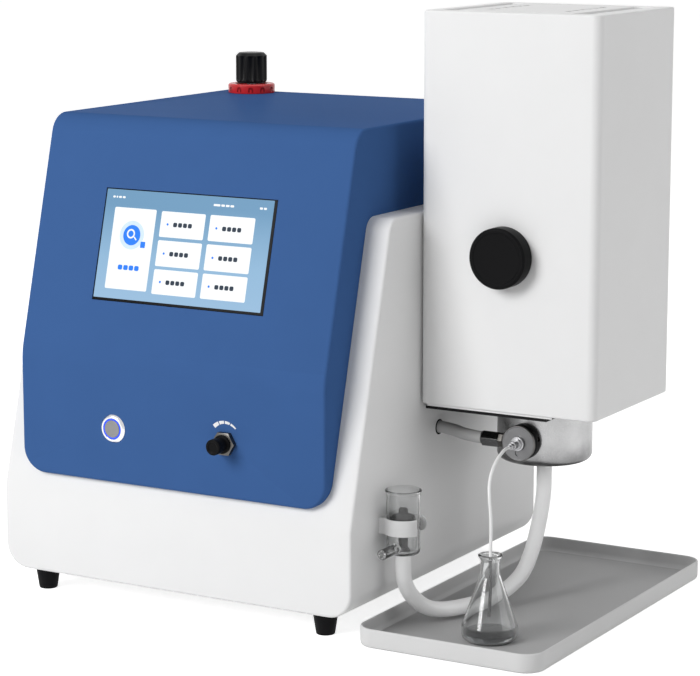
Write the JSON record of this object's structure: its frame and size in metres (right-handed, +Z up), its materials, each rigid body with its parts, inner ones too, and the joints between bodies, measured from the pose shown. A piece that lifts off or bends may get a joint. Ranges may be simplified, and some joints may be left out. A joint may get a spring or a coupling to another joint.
{
  "type": "flame photometer",
  "caption": "Bench flame photometer: sloping touch screen housing, burner chimney with viewing port, nebulizer, glass drain cup, sample flask and tray.",
  "frame": {"origin": "middle of the footprint, on the bench surface", "axes": "+X to the chimney side, -Y out of the front with the screen, +Z up"},
  "size_m": [0.4708, 0.354, 0.466],
  "materials": {
    "white_paint": "fine satin powder coat",
    "blue_paint": "fine satin powder coat",
    "zinc_steel": "zinc plated sheet",
    "bright_steel": "turned, satin",
    "polished_steel": "polished, faint turning lines",
    "chrome_plate": "bright plating",
    "cast_alloy": "fine cast",
    "brass": "machined",
    "button_metal": "satin",
    "black_anodised": "matt anodised",
    "black_plastic": "satin moulded",
    "grey_plastic": "moulded",
    "red_plastic": "glossy moulded",
    "blue_light": "lit diffuser",
    "black_rubber": "matt",
    "display_glass": "glossy cover glass over the lit screen",
    "clear_glass": "clear",
    "filter_glass": "coloured",
    "ceramic": "glazed ceramic",
    "hose_plastic": "milky soft tube",
    "capillary_plastic": "milky fine tube",
    "clip_plastic": "white moulded",
    "tray_plastic": "pale grey moulded",
    "board": "solder mask",
    "inner_hose": "soft tube"
  },
  "bodies": {
    "instrument": {"lower_housing": "white_paint", "base_plate": "zinc_steel", "top_cover": "blue_paint", "rear_panel": "white_paint", "rear_screws": "bright_steel", "feet": "black_rubber", "display_glass": "display_glass", "display_module": "grey_plastic", "button_bezel": "bright_steel", "button_light_ring": "blue_light", "gas_valve_nut": "chrome_plate", "gas_valve_body": "brass", "regulator_body": "cast_alloy", "regulator_ring": "red_plastic", "regulator_spring": "bright_steel", "chimney_housing": "white_paint", "chimney_gasket": "black_rubber", "vent_plate": "white_paint", "chamber_bracket": "white_paint", "mixing_chamber": "polished_steel", "burner_head": "polished_steel", "flame_glass": "clear_glass", "igniter_electrode": "ceramic", "viewing_tube": "bright_steel", "viewing_window": "clear_glass", "optics_block": "black_anodised", "optics_lens": "clear_glass", "optical_filter": "filter_glass", "light_detector": "bright_steel", "nebulizer_ring": "black_plastic", "nebulizer_plate": "bright_steel", "capillary_fitting": "bright_steel", "hose_coupling": "black_plastic", "coupling_nut": "chrome_plate", "hose_grommet": "black_rubber", "air_hose": "hose_plastic", "drain_hose": "hose_plastic", "capillary": "capillary_plastic", "glass_cup": "clear_glass", "standpipe": "black_plastic", "bell_cap": "black_plastic", "cup_clip": "clip_plastic", "tray": "tray_plastic", "main_board": "board", "power_supply": "zinc_steel", "igniter_transformer": "black_plastic", "gas_solenoid": "brass", "inner_tubes": "inner_hose", "power_inlet": "black_plastic", "rear_spigots": "brass"},
    "button": {"button_cap": "button_metal"},
    "gas_knob_set": {"gas_knob": "black_plastic"},
    "needle": {"gas_needle": "bright_steel"},
    "regulator_screw": {"regulator_stem": "bright_steel"},
    "regulator_grip": {"regulator_knob": "black_plastic"},
    "spring_seat": {"regulator_seat": "brass"},
    "view_cap": {"viewing_cap": "black_plastic"},
    "sample_flask": {"flask": "clear_glass"},
    "rocker": {"rocker_switch": "red_plastic"}
  },
  "joints": [
    {"name": "ignite_button_press", "type": "slide", "parent": "instrument", "child": "button", "axis": [0, 1, 0], "range_m": [0, 0.0025], "stiffness_N_per_m": 300},
    {"name": "gas_knob_turn", "type": "hinge", "parent": "instrument", "child": "gas_knob_set", "pos_m": [-0.02438, -0.167, 0.1433], "axis": [0, 1, 0], "range_deg": [-900, 900]},
    {"name": "gas_needle_slide", "type": "slide", "parent": "instrument", "child": "needle", "axis": [0, 1, 0], "range_m": [-0.00125, 0.00125]},
    {"name": "regulator_stem_turn", "type": "hinge", "parent": "instrument", "child": "regulator_screw", "pos_m": [-0.17968, 0.1284, 0.39], "axis": [0, 0, 1], "range_deg": [-1080, 1080]},
    {"name": "regulator_knob_lift", "type": "slide", "parent": "regulator_screw", "child": "regulator_grip", "axis": [0, 0, 1], "range_m": [0, 0.003]},
    {"name": "regulator_seat_slide", "type": "slide", "parent": "instrument", "child": "spring_seat", "axis": [0, 0, 1], "range_m": [-0.003, 0.003], "deforming": ["regulator_spring"]},
    {"name": "viewing_cap_pull", "type": "slide", "parent": "instrument", "child": "view_cap", "axis": [0, -1, 0], "range_m": [0, 0.03]},
    {"name": "flask_lift", "type": "slide", "parent": "instrument", "child": "sample_flask", "axis": [0, 0, 1], "range_m": [0, 0.012]},
    {"name": "power_rocker_tilt", "type": "hinge", "parent": "instrument", "child": "rocker", "pos_m": [-0.16437, 0.147, 0.084], "axis": [1, 0, 0], "range_deg": [0, 20]}
  ],
  "couplings": [
    {"joint": "gas_needle_slide", "follows": "gas_knob_turn", "m_per_rad": 0.000079},
    {"joint": "regulator_seat_slide", "follows": "regulator_stem_turn", "m_per_rad": 0.000159}
  ]
}
